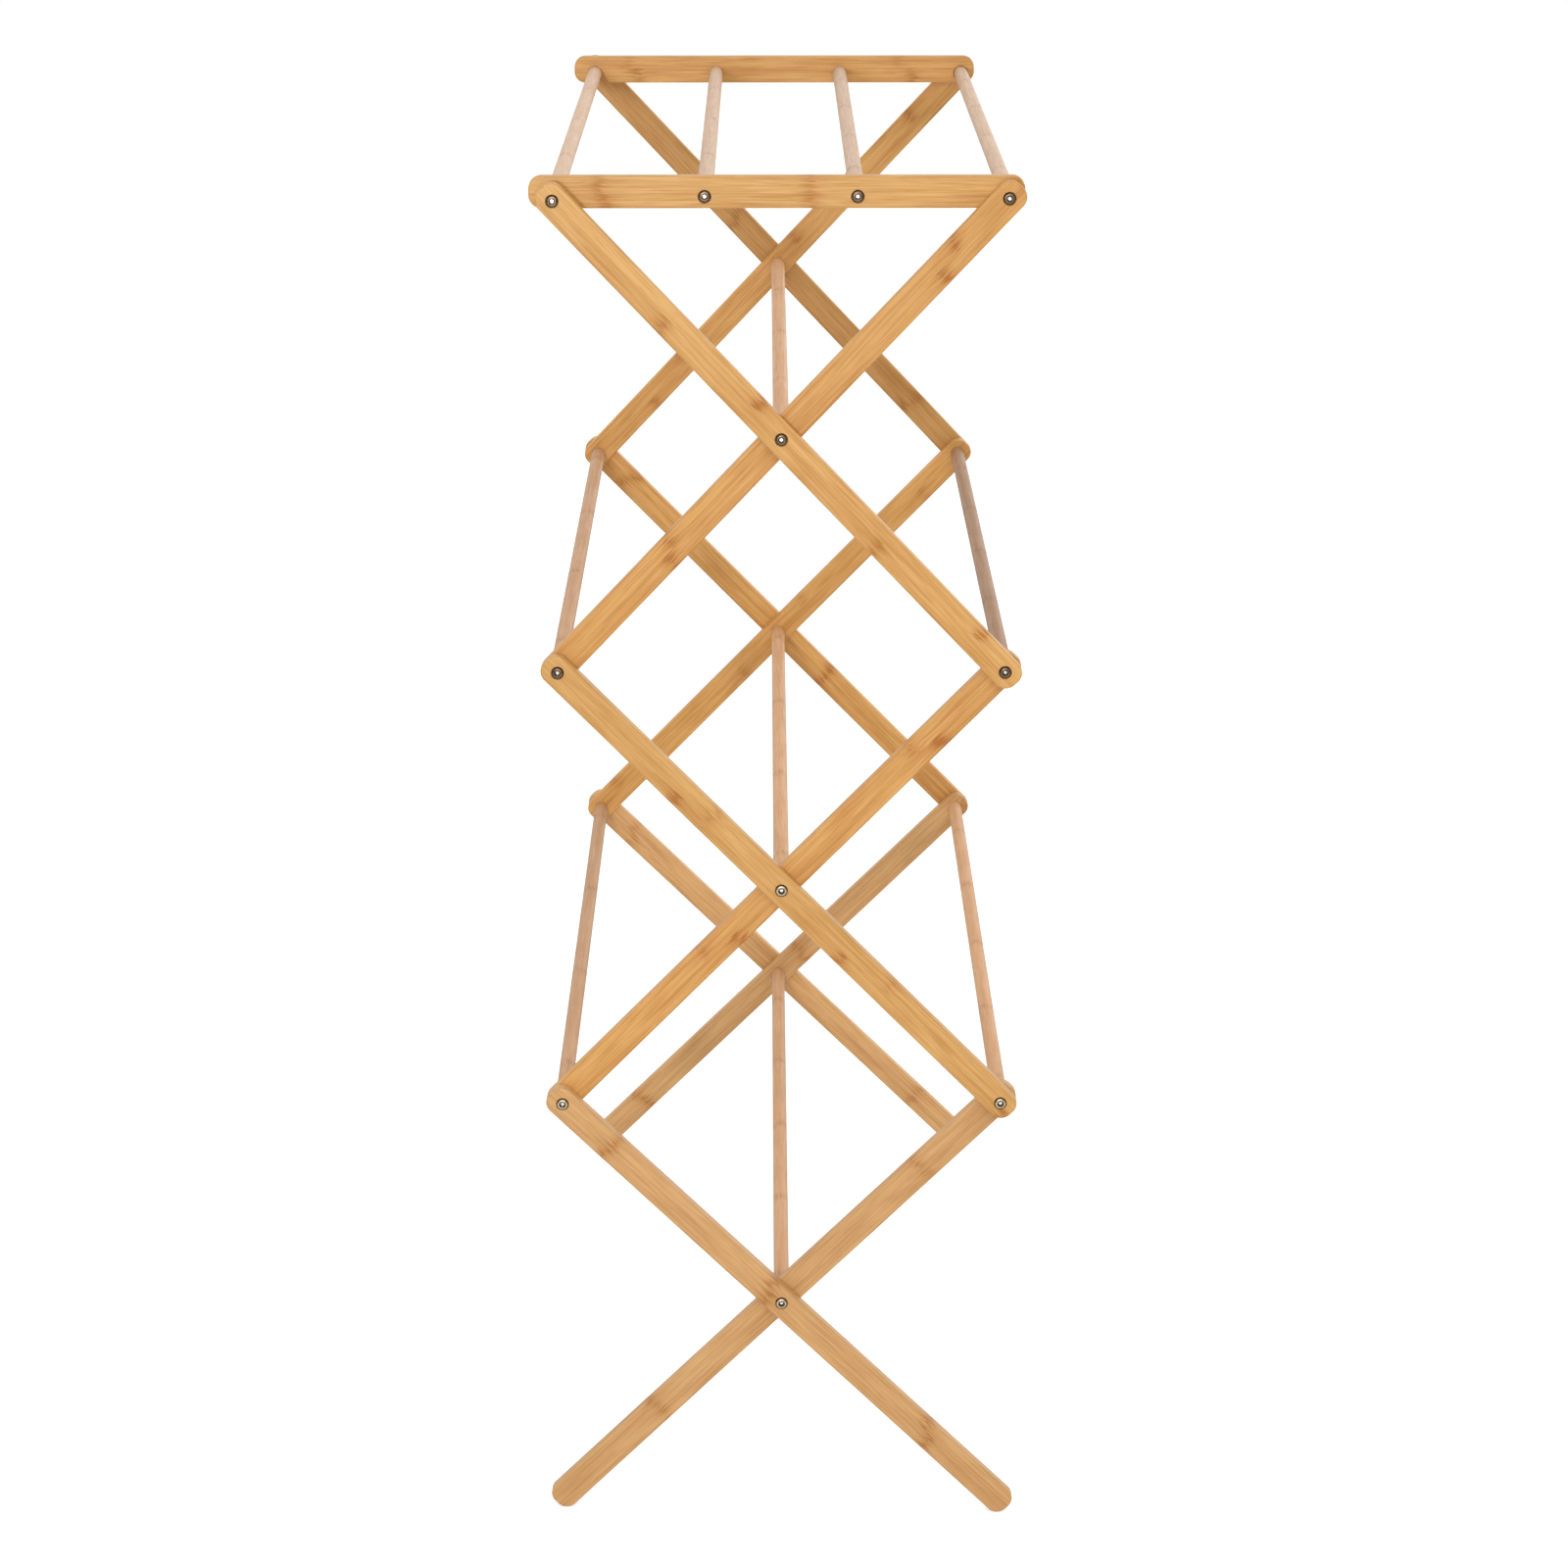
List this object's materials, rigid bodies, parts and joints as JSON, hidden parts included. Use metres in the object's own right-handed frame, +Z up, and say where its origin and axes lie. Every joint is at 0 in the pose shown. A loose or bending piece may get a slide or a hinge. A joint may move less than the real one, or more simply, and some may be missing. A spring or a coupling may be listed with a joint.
{
  "type": "folding clothes drying rack",
  "caption": "Free-standing folding clothes airer: scissor side frames of flat bamboo bars joined by round rods, with a flat rod shelf on top that hooks over one rod to hold it open.",
  "frame": {"origin": "on the floor, midway between the two side frames, in the upright plane through the crossing pivots; the hooked end of the shelf reaches a few millimetres further to -X than the feet reach to +X", "axes": "+Z up, +Y along the rods from the front side frame to the rear one, +X across the side frames, from the shelf's hooked end towards its pivoted end"},
  "size_m": [0.3668, 0.749, 1.061],
  "materials": {
    "bamboo_bar": "satin varnished bamboo",
    "bamboo_rod": "plain sanded bamboo",
    "screw_metal": "dark nickel plated"
  },
  "bodies": {
    "base_pivot": {"lower_cross_rod": "bamboo_rod", "lower_cross_screws": "screw_metal"},
    "outer_lower": {"front_outer_bar_lower": "bamboo_bar", "rear_outer_bar_lower": "bamboo_bar"},
    "inner_lower": {"front_inner_bar_lower": "bamboo_bar", "rear_inner_bar_lower": "bamboo_bar", "lower_right_rod": "bamboo_rod", "lower_right_screws": "screw_metal"},
    "outer_middle": {"front_outer_bar_middle": "bamboo_bar", "rear_outer_bar_middle": "bamboo_bar"},
    "inner_middle": {"front_inner_bar_middle": "bamboo_bar", "rear_inner_bar_middle": "bamboo_bar", "lower_left_rod": "bamboo_rod", "lower_left_screws": "screw_metal", "middle_cross_rod": "bamboo_rod", "middle_cross_screws": "screw_metal", "mid_right_rod": "bamboo_rod", "mid_right_screws": "screw_metal"},
    "outer_upper": {"front_outer_bar_upper": "bamboo_bar", "rear_outer_bar_upper": "bamboo_bar", "top_left_rod": "bamboo_rod", "top_left_screws": "screw_metal"},
    "inner_upper": {"front_inner_bar_upper": "bamboo_bar", "rear_inner_bar_upper": "bamboo_bar", "mid_left_rod": "bamboo_rod", "mid_left_screws": "screw_metal", "upper_cross_rod": "bamboo_rod", "upper_cross_screws": "screw_metal", "top_right_rod": "bamboo_rod", "top_right_screws": "screw_metal"},
    "shelf": {"front_shelf_rail": "bamboo_bar", "rear_shelf_rail": "bamboo_bar", "shelf_left_rod": "bamboo_rod", "shelf_left_screws": "screw_metal", "shelf_right_rod": "bamboo_rod", "shelf_right_screws": "screw_metal"}
  },
  "joints": [
    {"name": "fold", "type": "hinge", "parent": "base_pivot", "child": "outer_lower", "pos_m": [0, 0, 0.18379], "axis": [0, 1, 0], "range_deg": [0, 37.5]},
    {"name": "inner_lower_turn", "type": "hinge", "parent": "base_pivot", "child": "inner_lower", "pos_m": [0, 0, 0.18379], "axis": [0, 1, 0], "range_deg": [-37.5, 0]},
    {"name": "outer_middle_turn", "type": "hinge", "parent": "inner_lower", "child": "outer_middle", "pos_m": [0.16822, 0, 0.35237], "axis": [0, 1, 0], "range_deg": [0, 74.23]},
    {"name": "inner_middle_turn", "type": "hinge", "parent": "outer_lower", "child": "inner_middle", "pos_m": [-0.16822, 0, 0.35237], "axis": [0, 1, 0], "range_deg": [-74.23, 0]},
    {"name": "outer_upper_turn", "type": "hinge", "parent": "inner_middle", "child": "outer_upper", "pos_m": [0.16573, 0, 0.69698], "axis": [0, 1, 0], "range_deg": [0, 72.73]},
    {"name": "inner_upper_turn", "type": "hinge", "parent": "outer_middle", "child": "inner_upper", "pos_m": [-0.16573, 0, 0.69698], "axis": [0, 1, 0], "range_deg": [-72.73, 0]},
    {"name": "shelf_lift", "type": "hinge", "parent": "inner_upper", "child": "shelf", "pos_m": [0.16328, 0, 1.0463], "axis": [0, 1, 0], "range_deg": [0, 125.99]}
  ],
  "couplings": [
    {"joint": "inner_lower_turn", "follows": "fold", "ratio": -1},
    {"joint": "outer_middle_turn", "follows": "fold", "ratio": 1.9796},
    {"joint": "inner_middle_turn", "follows": "fold", "ratio": -1.9796},
    {"joint": "outer_upper_turn", "follows": "fold", "ratio": 1.9394},
    {"joint": "inner_upper_turn", "follows": "fold", "ratio": -1.9394},
    {"joint": "shelf_lift", "follows": "fold", "ratio": 3.3598}
  ]
}
